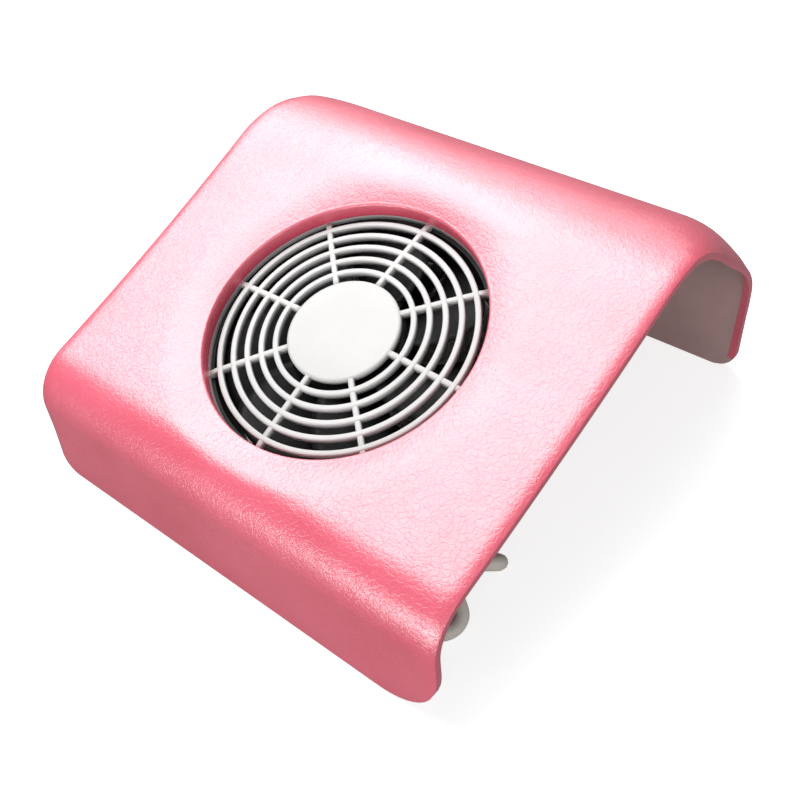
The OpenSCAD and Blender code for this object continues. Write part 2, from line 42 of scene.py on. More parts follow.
# ---------------------------------------------------------------- camera
# A long-lens view from the front right, above the table, with the arch tipped
# a little to the left in the frame.
camera_data = bpy.data.cameras.new("camera")
camera = bpy.data.objects.new("camera", camera_data)
scene.collection.objects.link(camera)
camera_data.lens = 49.16
camera_data.sensor_width = 36.0
camera_data.shift_x = 0.1062
camera_data.shift_y = 0.0072
camera_data.clip_start = 0.02
camera.matrix_world = Matrix((
    (0.73812, -0.40412, 0.54025, 0.23742),
    (0.65805, 0.60787, -0.44437, -0.24197),
    (-0.14882, 0.68350, 0.71461, 0.36122),
    (0, 0, 0, 1)))
scene.camera = camera

# ---------------------------------------------------------------- mains cord
# Round two-core cord with a soft grey PVC sheath, 6 mm thick. It leaves the
# switch box, falls to the table, shows in short loops at the right-hand end
# and runs behind the bag to a tied coil; a second stretch ends in the plug.
cord_thick = 0.006
fan_place = Vector((0.0, -0.026212, 0.077378))
slope = math.radians(16.2)


def on_fan(x, y, z):
    """A point in the fan's own tilted frame, in millimetres, as a place in metres."""
    c, s = math.cos(slope), math.sin(slope)
    return Vector((x / 1000, fan_place.y + (y * c - z * s) / 1000, fan_place.z + (y * s + z * c) / 1000))


def from_foot(x, y, z):
    """A point counted from the front foot, in millimetres, as a place in metres."""
    return Vector((x / 1000, y / 1000 - 0.1105, z / 1000))


def spline_through(points, steps):
    """A smooth line through the points, with steps between each two."""
    line = []
    for i in range(len(points) - 1):
        a, b = points[max(0, i - 1)], points[i]
        c, d = points[i + 1], points[min(len(points) - 1, i + 2)]
        for j in range(steps):
            t = j / steps
            line.append(0.5 * (2 * b + (c - a) * t + (2 * a - 5 * b + 4 * c - d) * t * t
                               + (3 * b - a - 3 * c + d) * t * t * t))
    return line + [points[-1]]


coil_centre = (-50.0, 170.0)
coil_inner, coil_outer = 30.0, 36.0
lead_in = [on_fan(72.6, -26.6, -18), on_fan(72.6, -34, -18)] + [from_foot(*p) for p in (
    (75, 44, 38), (77, 33, 22), (79.5, 26.8, 8.5), (83, 27.6, 3.6), (86.6, 30.6, 3.1), (88.4, 35, 3.1),
    (87.6, 39.8, 4), (84, 43, 6), (79, 45, 8), (73.5, 47.5, 9.2), (70.5, 51.5, 9.3), (72.5, 55.5, 9.3),
    (76.5, 58, 9.3), (80.8, 60, 9.3), (84.2, 62.8, 8.9), (86, 66, 6.9), (85, 68.6, 4.3), (82, 68.3, 3.1),
    (77, 65.8, 3.1), (70.5, 65.5, 3.1), (65, 71, 3.1), (61, 82, 3.1), (60, 104, 3.1), (57, 122, 3.1),
    (40, 134.5, 3.4), (10, 134, 4.2), (-28.6, 134, 4.6))]
turn_steps = 24
coil_line = []
# three layers of an outer and an inner turn, each easing into the next
windings = [(coil_outer, 4.6), (coil_inner, 4.6), (coil_inner, 10.6),
            (coil_outer, 10.6), (coil_inner, 16.6), (coil_outer, 16.6)]
for n, (radius, height) in enumerate(windings):
    after = windings[min(n + 1, len(windings) - 1)]
    for k in range(turn_steps * 2):
        turn = k / (turn_steps * 2)
        ease = max(0.0, (turn - 0.7) / 0.3)
        ease = ease * ease * (3 - 2 * ease)
        r = radius + (after[0] - radius) * ease
        z = height + (after[1] - height) * ease
        angle = math.radians(-90 - 360 * turn)
        coil_line.append(from_foot(coil_centre[0] + r * math.cos(angle),
                                   coil_centre[1] + r * math.sin(angle), z))
lead_out = [from_foot(*p) for p in (
    (-50, 134, 16.6), (-60, 133.9, 16.4), (-71.4, 134, 15.4), (-80, 131.5, 12.5), (-87, 125, 8.9),
    (-91, 112, 8), (-91, 98.1, 8))]
cord_line = spline_through(lead_in, 6) + coil_line + spline_through(lead_out, 6)
cord_curve = bpy.data.curves.new("mains_cord", "CURVE")
cord_curve.dimensions = "3D"
cord_curve.bevel_depth = cord_thick / 2
cord_curve.bevel_resolution = 4
cord_curve.use_fill_caps = True
cord_spline = cord_curve.splines.new("POLY")
cord_spline.points.add(len(cord_line) - 1)
for point, place in zip(cord_spline.points, cord_line):
    point.co = (*place, 1.0)
mains_cord = bpy.data.objects.new("mains_cord", cord_curve)
scene.collection.objects.link(mains_cord)


def new_material(name, roughness, **sockets):
    """A Principled material and its tree; the sockets are set as constants."""
    made = bpy.data.materials.new(name)
    made.use_nodes = True
    shader = made.node_tree.nodes["Principled BSDF"]
    shader.inputs["Roughness"].default_value = roughness
    for socket, value in sockets.items():
        shader.inputs[socket.replace("_", " ")].default_value = value
    return made, made.node_tree, shader


def mottled(tree, shader, colours, scale, detail=3.0, stops=(0.35, 0.65)):
    """Colour that wanders between the given ones; returns the place socket."""
    place = tree.nodes.new("ShaderNodeTexCoord").outputs["Object"]
    wander = tree.nodes.new("ShaderNodeTexNoise")
    wander.inputs["Scale"].default_value = scale
    wander.inputs["Detail"].default_value = detail
    tree.links.new(place, wander.inputs["Vector"])
    ramp = tree.nodes.new("ShaderNodeValToRGB")
    ramp.color_ramp.elements[0].position, ramp.color_ramp.elements[1].position = stops
    for stop, colour in zip(ramp.color_ramp.elements, colours):
        stop.color = (*colour, 1)
    tree.links.new(wander.outputs["Fac"], ramp.inputs["Fac"])
    tree.links.new(ramp.outputs["Color"], shader.inputs["Base Color"])
    return place


def relief(tree, shader, place, layers):
    """Fine relief of the surface: (scale, height in metres) of each noise layer."""
    before = None
    for scale, height in layers:
        grain = tree.nodes.new("ShaderNodeTexNoise")
        grain.inputs["Scale"].default_value = scale
        grain.inputs["Detail"].default_value = 4.0
        tree.links.new(place, grain.inputs["Vector"])
        bump = tree.nodes.new("ShaderNodeBump")
        bump.inputs["Strength"].default_value = 1.0
        bump.inputs["Distance"].default_value = height
        tree.links.new(grain.outputs["Fac"], bump.inputs["Height"])
        if before:
            tree.links.new(before.outputs["Normal"], bump.inputs["Normal"])
        before = bump
    tree.links.new(before.outputs["Normal"], shader.inputs["Normal"])
    return before


def uneven_gloss(tree, shader, place, scale, low, high):
    """Roughness that wanders between low and high, as handling leaves it."""
    rub = tree.nodes.new("ShaderNodeTexNoise")
    rub.inputs["Scale"].default_value = scale
    rub.inputs["Detail"].default_value = 5.0
    tree.links.new(place, rub.inputs["Vector"])
    spread = tree.nodes.new("ShaderNodeMapRange")
    spread.inputs["From Min"].default_value = 0.3
    spread.inputs["From Max"].default_value = 0.7
    spread.inputs["To Min"].default_value = low
    spread.inputs["To Max"].default_value = high
    tree.links.new(rub.outputs["Fac"], spread.inputs["Value"])
    tree.links.new(spread.outputs["Result"], shader.inputs["Roughness"])


sheath, tree, shader = new_material("grey_pvc_sheath", 0.5)
place = mottled(tree, shader, ((0.60, 0.56, 0.50), (0.70, 0.66, 0.60)), 60)
relief(tree, shader, place, ((900, 0.00008), (4000, 0.00003)))
uneven_gloss(tree, shader, place, 90, 0.42, 0.6)
cord_curve.materials.append(sheath)
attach(mains_cord, "base")
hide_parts("power_cord", "cord_coil", "cord_tail")

# ---------------------------------------------------------------- arch
# One sheet of plastic, 3 mm thick, bent into a low arch that is hand rest and
# housing in one. A glossy pink skin with a fine leather grain is folded round
# its open ends; inside it is bare. A shallow dish leads to the rimmed opening.
arch_w, arch_d, front_h, sheet_t = 213.0, 221.0, 55.2, 3.0
front_r, back_r, crown, foot_r, near_foot_r = 23.7, 59.9, 1.6, 9.0, 28.0
front_lean, back_lean = math.radians(2.3), math.radians(7.7)
opening_r, dish_r, dish_depth, rim_low, rim_soft = 59.0, 77.0, 2.1, 9.0, 1.1


def direction(a):
    return Vector((math.cos(a), math.sin(a)))


lean_front, lean_top = math.pi - front_lean, math.pi / 2 + slope
n_front, n_top, n_back = direction(lean_front), direction(lean_top), direction(-back_lean)
front_corner = Vector((front_h * math.tan(front_lean), front_h))
centre_front = front_corner - front_r * (n_front + n_top) / (1 + n_front.dot(n_top))
centre_back = Vector((arch_d - back_r, front_h + (arch_d - back_r - front_corner.x) * math.tan(slope)
                      - back_r / math.cos(slope)))
start_front = centre_front + front_r * n_front
start_top = centre_front + front_r * n_top
end_top = centre_back + back_r * n_top
start_back = centre_back + back_r * n_back
foot_back = Vector((start_back.x - start_back.y * math.tan(back_lean), 0))
top_length = (end_top - start_top).length
ways = [start_front.length, front_r * (lean_front - lean_top), top_length,
        back_r * (lean_top + back_lean), (start_back - foot_back).length]
marks = [sum(ways[:k]) for k in range(6)]
fan_mark = marks[2] + 85.0 - (start_top - front_corner).length


def arch_at(s):
    """Place and outward normal on the arch's skin, s mm along it from the front foot."""
    if s <= marks[1]:
        return start_front * (s / ways[0]), n_front
    if s <= marks[2]:
        n = direction(lean_front - (s - marks[1]) / front_r)
        return centre_front + front_r * n, n
    if s <= marks[3]:
        t = (s - marks[2]) / ways[2]
        n = direction(lean_top + math.atan(4 * crown * (1 - 2 * t) / ways[2]) * 1.0)
        return start_top.lerp(end_top, t) - 4 * crown * t * (1 - t) * n_top, n
    if s <= marks[4]:
        n = direction(lean_top - (s - marks[3]) / back_r)
        return centre_back + back_r * n, n
    t = (s - marks[4]) / ways[4]
    return start_back.lerp(foot_back, t), n_back


def smooth_step(t):
    t = min(1.0, max(0.0, t))
    return t * t * (3 - 2 * t)


def roll(x, s):
    """How far the folded skin at an open end curls under, in mm."""
    away = abs(x) - arch_w / 2
    curl = 1.1 * max(0.0, (away + 4.5) / 4.5) ** 2 * smooth_step(s / 30) * smooth_step((marks[5] - s) / 30)
    bend = math.degrees(lean_top - (s - marks[3]) / back_r)
    hump = math.sin(math.pi * min(1.0, max(0.0, (bend - 4) / 84))) ** 1.4
    return curl + (9.0 if x > 0 else 1.5) * hump * max(0.0, (away + 26) / 26) ** 2.5


def skin_point(x, s, depth=0.0):
    p, n = arch_at(s)
    depth += roll(x, s)
    return Vector((x, p.x - n.x * depth - arch_d / 2, p.y - n.y * depth)) / 1000


side_steps = 64
half_w, half_s = arch_w / 2, 84.0
border = ([(half_w, -half_s + 2 * half_s * k / side_steps) for k in range(side_steps)]
          + [(half_w - arch_w * k / side_steps, half_s) for k in range(side_steps)]
          + [(-half_w, half_s - 2 * half_s * k / side_steps) for k in range(side_steps)]
          + [(-half_w + arch_w * k / side_steps, -half_s) for k in range(side_steps)])
around = len(border)
outer_rings, inner_rings = [], []
for z in (-rim_low, -7.5, -6.0, -4.6, -dish_depth - rim_soft):
    outer_rings.append([on_fan(opening_r * x / math.hypot(x, s), opening_r * s / math.hypot(x, s), z)
                        for x, s in border])
    low = min(z, -dish_depth - sheet_t)
    inner_rings.append([on_fan((opening_r + sheet_t) * x / math.hypot(x, s),
                               (opening_r + sheet_t) * s / math.hypot(x, s), low) for x, s in border])


def dish_point(x, s, depth):
    """On the skin outside the dish, easing down to the flat rim inside it."""
    r = math.hypot(x, s)
    down = min(1.0, max(0.0, (dish_r - r) / (dish_r - opening_r - rim_soft))) ** 1.9
    on_skin = skin_point(x, fan_mark + s, depth)
    return on_skin.lerp(on_fan(x, s, -dish_depth - depth), down)


for k in range(1, 6):
    a = math.pi / 2 * k / 5
    r = opening_r + rim_soft * (1 - math.cos(a))
    z = -dish_depth - rim_soft * (1 - math.sin(a))
    outer_rings.append([on_fan(r * x / math.hypot(x, s), r * s / math.hypot(x, s), z) for x, s in border])
    inner_rings.append(inner_rings[-1])
for r in (60.7, 61.5, 62.5, 63.5, 64.5, 65.5, 66.5, 67.5, 68.5, 69.5, 70.5, 71.5, 72.5, 73.5, 74.5, 75.6, 77):
    outer_rings.append([dish_point(r * x / math.hypot(x, s), r * s / math.hypot(x, s), 0) for x, s in border])
    wide = max(r, opening_r + sheet_t)
    inner_rings.append([dish_point(wide * x / math.hypot(x, s), wide * s / math.hypot(x, s), sheet_t)
                        for x, s in border])
for t in (0.1, 0.22, 0.34, 0.46, 0.58, 0.7, 0.8, 0.88, 0.94, 0.98, 1.0):
    blended = [(77 * x / math.hypot(x, s) * (1 - t) + x * t, 77 * s / math.hypot(x, s) * (1 - t) + s * t)
               for x, s in border]
    outer_rings.append([skin_point(x, fan_mark + s) for x, s in blended])
    inner_rings.append([skin_point(x, fan_mark + s, sheet_t) for x, s in blended])

faces = []
for j in range(len(outer_rings) - 1):
    for i in range(around):
        faces.append((j * around + i, j * around + (i + 1) % around,
                      (j + 1) * around + (i + 1) % around, (j + 1) * around + i))
faces = [tuple(reversed(f)) for f in faces]
outer_verts = [p for ring in outer_rings for p in ring]
inner_verts = [p for ring in inner_rings for p in ring]


def leg_reach(s_from_foot, r):
    """How far a leg reaches sideways when its bottom corner has radius r."""
    if s_from_foot >= r:
        return half_w
    return half_w - r + math.sqrt(max(0.0, r ** 2 - (r - s_from_foot) ** 2))


def strip_rows(first, last, count):
    return [first + (last - first) * k / count for k in range(count)]


near_foot = [0, 0.15, 0.6, 1.3, 2.4, 3.8, 5.6, 7.4, 9.0, 12.0, 15.5, 19.5, 24.0, 28.0]
front_rows = near_foot + strip_rows(30, marks[1], 2) + strip_rows(marks[1], fan_mark - half_s, 14)
front_rows = [s for s in front_rows if s < fan_mark - half_s - 0.4]
back_rows = ([marks[5] - s for s in near_foot] + [marks[5] - s for s in strip_rows(30, ways[4], 2)]
             + list(reversed(strip_rows(fan_mark + half_s + 2.8, marks[4], 34))))
last_ring = (len(outer_rings) - 1) * around
seams = ([last_ring + 3 * side_steps + k for k in range(side_steps)] + [last_ring],
         [last_ring + 2 * side_steps - k for k in range(side_steps)] + [last_ring + side_steps])
for rows, seam, flip in ((front_rows, seams[0], False), (back_rows, seams[1], True)):
    before = None
    for s in rows + [None]:
        if s is None:
            row = seam
        else:
            row = list(range(len(outer_verts), len(outer_verts) + side_steps + 1))
            low = marks[5] - s if flip else s
            left, right = leg_reach(low, foot_r), leg_reach(low, foot_r if flip else near_foot_r)
            for k in range(side_steps + 1):
                x = -left + (left + right) * k / side_steps
                outer_verts.append(skin_point(x, s))
                # both feet are cut level where they stand
                inner = skin_point(x, s, sheet_t)
                inner.z = 0.0 if s in (0, marks[5]) else max(inner.z, 0.00002)
                inner_verts.append(inner)
        if before:
            for k in range(side_steps):
                quad = (before[k], before[k + 1], row[k + 1], row[k])
                faces.append(tuple(reversed(quad)) if flip else quad)
        before = row

count = len(outer_verts)
used = {}
for f in faces:
    for a, b in zip(f, f[1:] + f[:1]):
        used[(a, b)] = True
walls = [(b, a, a + count, b + count) for (a, b) in used if (b, a) not in used]
inner_faces = [tuple(i + count for i in reversed(f)) for f in faces]
arch_mesh = bpy.data.meshes.new("arch")
arch_mesh.from_pydata(outer_verts + inner_verts, [], faces + inner_faces + walls)
for p in arch_mesh.polygons[len(faces):len(faces) + len(inner_faces)]:
    if abs(p.center.x) < (half_w - 2.2) / 1000 and (p.center - fan_place).length > 0.0665:
        p.material_index = 1
shaping = bmesh.new()
shaping.from_mesh(arch_mesh)
bmesh.ops.remove_doubles(shaping, verts=shaping.verts, dist=1e-6)
bmesh.ops.dissolve_degenerate(shaping, dist=1e-7, edges=shaping.edges)
bmesh.ops.recalc_face_normals(shaping, faces=shaping.faces)
for f in shaping.faces:
    f.smooth = True
shaping.to_mesh(arch_mesh)
shaping.free()
arch = bpy.data.objects.new("arch", arch_mesh)
scene.collection.objects.link(arch)
rounding = arch.modifiers.new("rounded_edges", "BEVEL")
rounding.width = 0.0008
rounding.segments = 3
rounding.limit_method = "ANGLE"
rounding.angle_limit = math.radians(50)
rounding.harden_normals = False

pearl_pink, tree, shader = new_material("pearl_pink_skin", 0.4, Specular_IOR_Level=1.0, Coat_Weight=1.0,
                                        Coat_Roughness=0.3, Coat_IOR=1.7)
place = mottled(tree, shader, ((0.62, 0.065, 0.115), (0.69, 0.09, 0.15)), 22, 4.0)
creases = tree.nodes.new("ShaderNodeTexVoronoi")
creases.feature = "DISTANCE_TO_EDGE"
creases.inputs["Scale"].default_value = 430
wander = tree.nodes.new("ShaderNodeTexNoise")
wander.inputs["Scale"].default_value = 260
wander.inputs["Detail"].default_value = 3
shift = tree.nodes.new("ShaderNodeVectorMath")
shift.operation = "MULTIPLY_ADD"
shift.inputs[1].default_value = (0.004, 0.004, 0.004)
tree.links.new(place, wander.inputs["Vector"])
tree.links.new(wander.outputs["Color"], shift.inputs[0])
tree.links.new(place, shift.inputs[2])
tree.links.new(shift.outputs["Vector"], creases.inputs["Vector"])
edge = tree.nodes.new("ShaderNodeMapRange")
edge.inputs["From Max"].default_value = 0.12
tree.links.new(creases.outputs["Distance"], edge.inputs["Value"])
grain = relief(tree, shader, place, ((160, 0.00016), (700, 0.00009), (2600, 0.00003)))
leather = tree.nodes.new("ShaderNodeBump")
leather.inputs["Strength"].default_value = 0.5
leather.inputs["Distance"].default_value = 0.00009
tree.links.new(edge.outputs["Result"], leather.inputs["Height"])
tree.links.new(grain.outputs["Normal"], leather.inputs["Normal"])
for socket in ("Normal", "Coat Normal"):
    tree.links.new(leather.outputs["Normal"], shader.inputs[socket])
uneven_gloss(tree, shader, place, 35, 0.36, 0.46)
bare_inside, tree, shader = new_material("bare_grey_brown_inside", 0.7)
place = mottled(tree, shader, ((0.40, 0.26, 0.255), (0.47, 0.315, 0.305)), 30, 4.0)
relief(tree, shader, place, ((300, 0.0002), (1800, 0.00008)))
uneven_gloss(tree, shader, place, 45, 0.6, 0.8)
arch_mesh.materials.append(pearl_pink)
arch_mesh.materials.append(bare_inside)
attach(arch, "base")
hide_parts("shell")

# ---------------------------------------------------------------- grille
# White moulded guard: a plain slightly domed disc, five rings and eight
# spokes in one piece with a square flange, clamped between rim and fan.
def lathe(sections, segments=160):
    """Closed rings turned about the fan's axis from closed (radius, height) sections."""
    turned = bmesh.new()
    for section in sections:
        loops = []
        for k in range(segments):
            a = 2 * math.pi * k / segments
            loops.append([turned.verts.new(on_fan(r * math.cos(a), r * math.sin(a), z)) for r, z in section])
        for k in range(segments):
            here, there = loops[k], loops[(k + 1) % segments]
            for i in range(len(section)):
                j = (i + 1) % len(section)
                turned.faces.new((here[i], here[j], there[j], there[i]))
    bmesh.ops.remove_doubles(turned, verts=turned.verts, dist=1e-7)
    bmesh.ops.dissolve_degenerate(turned, dist=1e-8, edges=turned.edges)
    bmesh.ops.recalc_face_normals(turned, faces=turned.faces)
    for f in turned.faces:
        f.smooth = True
    return turned


def finish_piece(shaping, name, material, body, nodes):
    """Turns a shaped mesh into a piece that rides on its body."""
    mesh = bpy.data.meshes.new(name)
    shaping.to_mesh(mesh)
    shaping.free()
    mesh.materials.append(material)
    piece = bpy.data.objects.new(name, mesh)
    scene.collection.objects.link(piece)
    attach(piece, body)
    if nodes:
        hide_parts(*nodes)
    return piece


def soft_section(r0, r1, z0, z1, soft):
    """A rectangle in section with its two upper edges rounded."""
    corner = []
    for k in range(4):
        a = math.pi / 2 * k / 3
        corner.append((soft * (1 - math.cos(a)), soft * (1 - math.sin(a))))
    left = [(r0 + c[0], z1 - c[1]) for c in corner]
    right = [(r1 - c[0], z1 - c[1]) for c in reversed(corner)]
    return [(r0 + 0.15, z0)] + left + right + [(r1 - 0.15, z0)]


disc_r, bar, bar_deep, dome = 23.7, 2.43, 3.0, 2.5


def dome_at(r):
    return -5.6 - dome * (r / 55) ** 2


sections = [soft_section(r, r + bar, dome_at(r) - bar_deep, dome_at(r), 0.55)
            for r in (27.5 + 6.26 * k for k in range(5))]
disc_top = [(r, dome_at(r)) for r in (0.0, 4, 8, 12, 16, 19, 21, 22.4)]
disc_edge = [(disc_r - 0.35, dome_at(disc_r)), (disc_r, dome_at(disc_r) - 0.5)]
disc_under = [(disc_r, dome_at(disc_r) - 2.4), (disc_r - 1.2, dome_at(disc_r) - 2.6),
              (0.0, dome_at(disc_r) - 2.6)]
sections.append(disc_top + disc_edge + disc_under)
guard = lathe(sections)
for k in range(8):
    a = math.pi / 4 * k
    across = []
    for n in range(13):
        r = 22.8 + (58.6 - 22.8) * n / 12
        top = dome_at(r) if r < 56 else dome_at(56) - (r - 56) * 0.25
        half, soft = bar / 2, 0.55
        ring = []
        for w, z in ((-half + 0.1, -bar_deep), (-half, -soft),
                     (-half + soft * 0.3, -soft * 0.3), (-half + soft, 0),
                     (half - soft, 0), (half - soft * 0.3, -soft * 0.3),
                     (half, -soft), (half - 0.1, -bar_deep)):
            x, y = r * math.cos(a) - w * math.sin(a), r * math.sin(a) + w * math.cos(a)
            ring.append(guard.verts.new(on_fan(x, y, top + z - 0.03)))
        across.append(ring)
    for ring, after in zip(across, across[1:]):
        for i in range(8):
            guard.faces.new((ring[i], ring[(i + 1) % 8], after[(i + 1) % 8], after[i])).smooth = True
    guard.faces.new(list(reversed(across[0])))
    guard.faces.new(across[-1])
# the hidden square flange
flange_w, flange_low, flange_top = 62.0, -11.5, -9.0
steps = 96
plate = []
for z in (flange_low, flange_top):
    for inside in (True, False):
        ring = []
        for k in range(steps):
            a = 2 * math.pi * (k + 0.5) / steps
            r = opening_r if inside else min(82.0, flange_w / max(abs(math.cos(a)), abs(math.sin(a))))
            ring.append(guard.verts.new(on_fan(r * math.cos(a), r * math.sin(a), z)))
        plate.append(ring)
for k in range(steps):
    m = (k + 1) % steps
    guard.faces.new((plate[0][k], plate[0][m], plate[1][m], plate[1][k]))
    guard.faces.new((plate[2][k], plate[3][k], plate[3][m], plate[2][m]))
    guard.faces.new((plate[1][k], plate[1][m], plate[3][m], plate[3][k]))
    guard.faces.new((plate[0][m], plate[0][k], plate[2][k], plate[2][m]))
# eight short tongues that carry the spokes' ends down to the flange
for k in range(8):
    a = math.pi / 4 * k
    corners = []
    for r, z in ((57.2, -11.4), (60.2, -11.4), (60.2, -9.05), (57.2, -9.05)):
        for w in (-bar / 2, bar / 2):
            x, y = r * math.cos(a) - w * math.sin(a), r * math.sin(a) + w * math.cos(a)
            corners.append(guard.verts.new(on_fan(x, y, z)))
    for f in ((0, 2, 3, 1), (2, 4, 5, 3), (4, 6, 7, 5), (6, 0, 1, 7), (0, 6, 4, 2), (1, 3, 5, 7)):
        guard.faces.new([corners[i] for i in f])
bmesh.ops.recalc_face_normals(guard, faces=guard.faces)
white_plastic, tree, shader = new_material("white_moulded_plastic", 0.35)
place = mottled(tree, shader, ((0.43, 0.425, 0.42), (0.48, 0.475, 0.47)), 40)
relief(tree, shader, place, ((1200, 0.00005), (5000, 0.00002)))
uneven_gloss(tree, shader, place, 80, 0.3, 0.45)
finish_piece(guard, "grille", white_plastic, "base", ["fan_guard"])

# ---------------------------------------------------------------- fan frame
# Square axial fan frame of black moulded plastic, 120 mm wide and 25 mm deep.
# The four struts and the bearing tube below the impeller are moulded with it.
def dress(name, material, edge=0.0004, segments=2):
    """A CAD solid kept as it is, with softened edges and a finish of its own."""
    piece = bpy.data.objects[name]
    piece.data.materials.clear()
    piece.data.materials.append(material)
    soften = piece.modifiers.new("soft_edges", "BEVEL")
    soften.width = edge
    soften.segments = segments
    soften.limit_method = "ANGLE"
    soften.angle_limit = math.radians(32)
    return piece


black_plastic, tree, shader = new_material("black_moulded_plastic", 0.55, Specular_IOR_Level=0.3)
place = mottled(tree, shader, ((0.006, 0.006, 0.007), (0.013, 0.013, 0.014)), 50)
relief(tree, shader, place, ((900, 0.00008), (4200, 0.00004)))
uneven_gloss(tree, shader, place, 60, 0.5, 0.7)
dress("fan_frame", black_plastic, 0.0006, 3)

# ---------------------------------------------------------------- impeller
# Seven swept, cambered blades on a round hub, moulded in one piece of smoky
# black plastic; each blade thins from a thick root to a rounded tip.
blade_tip, blade_floor, hub_roof, hub_floor = 56.2, -30.3, -14.0, -31.0
hub_outline = [(1.56, hub_roof), (6, hub_roof), (14, hub_roof - 0.05), (20, hub_roof - 0.25),
               (22.6, hub_roof - 0.8), (23.7, hub_roof - 1.8), (24.0, hub_roof - 3.2), (24.0, hub_floor + 0.4),
               (23.7, hub_floor), (22.75, hub_floor), (22.55, hub_floor + 0.3), (22.55, hub_roof - 1.55),
               (3.2, hub_roof - 1.55), (3.1, hub_roof - 2.7), (1.56, hub_roof - 2.7)]
fan_wheel = lathe([hub_outline], 96)
stations, around_blade = 12, 9
for blade in range(7):
    rings = []
    for k in range(stations + 1):
        t = k / stations
        r = 23.6 + (blade_tip - 23.6) * t
        swing = math.radians(360 / 7 * blade - 4 + 14 * t * t)
        half = math.radians(25 + 3 * t - 7 * t * t)
        thick = 1.0 - 0.5 * t
        ring_top, ring_low = [], []
        for n in range(around_blade):
            u = n / (around_blade - 1)
            a = swing + half * (1 - 2 * u)
            rise = blade_floor + 1.0 + (14.2 - 1.5 * t) * u + 1.6 * math.sin(math.pi * u)
            rounded = thick * (0.35 + 0.65 * math.sin(math.pi * min(max(u, 0.06), 0.94)) ** 0.5)
            # the tip's corners are rounded off
            reach = r - (1.6 * (abs(2 * u - 1) ** 4) if k == stations else 0)
            for ring, side in ((ring_top, 0.5), (ring_low, -0.5)):
                ring.append(fan_wheel.verts.new(on_fan(reach * math.cos(a), reach * math.sin(a),
                                                       rise + side * rounded)))
        rings.append(ring_top + list(reversed(ring_low)))
    size = 2 * around_blade
    for inner, outer in zip(rings, rings[1:]):
        for n in range(size):
            m = (n + 1) % size
            fan_wheel.faces.new((inner[n], inner[m], outer[m], outer[n])).smooth = True
    for ring in (rings[0], rings[-1]):
        for n in range(around_blade - 1):
            fan_wheel.faces.new((ring[n], ring[n + 1], ring[size - 2 - n], ring[size - 1 - n]))
bmesh.ops.recalc_face_normals(fan_wheel, faces=fan_wheel.faces)
smoky_black, tree, shader = new_material("smoky_black_plastic", 0.5, Specular_IOR_Level=0.3)
place = mottled(tree, shader, ((0.006, 0.006, 0.007), (0.013, 0.013, 0.014)), 35)
relief(tree, shader, place, ((700, 0.00008), (3500, 0.00003)))
uneven_gloss(tree, shader, place, 40, 0.42, 0.62)
finish_piece(fan_wheel, "fan_wheel", smoky_black, "fan_rotor", ["impeller"])

# ---------------------------------------------------------------- motor
# Rotor ring, shaft and its clip, two bearings and a slotted stator core of
# steel, all CAD solids with turned or pressed finishes of their own.
def metal(name, colours, roughness, stretch):
    """Bare metal with fine tool marks drawn out along the fan's axis or round it."""
    made, tree, shader = new_material(name, roughness, Metallic=1.0)
    place = mottled(tree, shader, colours, 120, 4.0)
    marks_at = tree.nodes.new("ShaderNodeMapping")
    marks_at.inputs["Scale"].default_value = stretch
    tree.links.new(place, marks_at.inputs["Vector"])
    relief(tree, shader, marks_at.outputs["Vector"], ((1500, 0.00003), (6000, 0.00001)))
    uneven_gloss(tree, shader, place, 150, roughness - 0.07, roughness + 0.1)
    return made


turned_steel = metal("turned_steel", ((0.52, 0.53, 0.55), (0.62, 0.63, 0.65)), 0.28, (1, 1, 9))
pressed_steel = metal("pressed_steel", ((0.36, 0.37, 0.38), (0.46, 0.47, 0.48)), 0.38, (1, 1, 14))
for name, finish in (("rotor", pressed_steel), ("shaft", turned_steel), ("shaft_clip", pressed_steel),
                     ("bearing_upper", turned_steel), ("bearing_lower", turned_steel),
                     ("stator_core", pressed_steel)):
    dress(name, finish, 0.00015)

# ---------------------------------------------------------------- windings
# Enamelled copper wire wound through the eight slots of the core, with the
# turns lying side by side in two heads above and below it.
coils = bmesh.new()
for z0 in (-30.35, -18.4):
    made = lathe([[(9.7, z0 + 0.1), (9.6, z0 + 0.9), (9.9, z0 + 1.6), (12.2, z0 + 1.74), (14.5, z0 + 1.6),
                   (14.95, z0 + 0.9), (14.8, z0 + 0.1), (12.2, z0)]], 96)
    part = bpy.data.meshes.new("winding_part")
    made.to_mesh(part)
    made.free()
    coils.from_mesh(part)
    bpy.data.meshes.remove(part)
for k in range(8):
    a = math.radians(22.5 + 45 * k)
    rings = []
    for z in (-29.0, -18.0):
        rings.append([coils.verts.new(on_fan(12.4 * math.cos(a) + 2.05 * math.cos(b), 12.4 * math.sin(a)
                                             + 2.05 * math.sin(b), z))
                      for b in (2 * math.pi * n / 20 for n in range(20))])
    for n in range(20):
        m = (n + 1) % 20
        coils.faces.new((rings[0][n], rings[0][m], rings[1][m], rings[1][n])).smooth = True
    coils.faces.new(rings[1])
    coils.faces.new(list(reversed(rings[0])))
bmesh.ops.recalc_face_normals(coils, faces=coils.faces)
copper, tree, shader = new_material("enamelled_copper", 0.3, Metallic=1.0, Coat_Weight=0.6)
place = mottled(tree, shader, ((0.62, 0.27, 0.11), (0.78, 0.38, 0.17)), 200)
from_axis = tree.nodes.new("ShaderNodeMapping")
from_axis.inputs["Location"].default_value = (0, 0.026212, -0.077378)
from_axis.inputs["Rotation"].default_value = (-slope, 0, 0)
tree.links.new(place, from_axis.inputs["Vector"])
turns = tree.nodes.new("ShaderNodeTexWave")
turns.wave_type = "RINGS"
turns.rings_direction = "Z"
turns.inputs["Scale"].default_value = 900
turns.inputs["Distortion"].default_value = 1.5
tree.links.new(from_axis.outputs["Vector"], turns.inputs["Vector"])
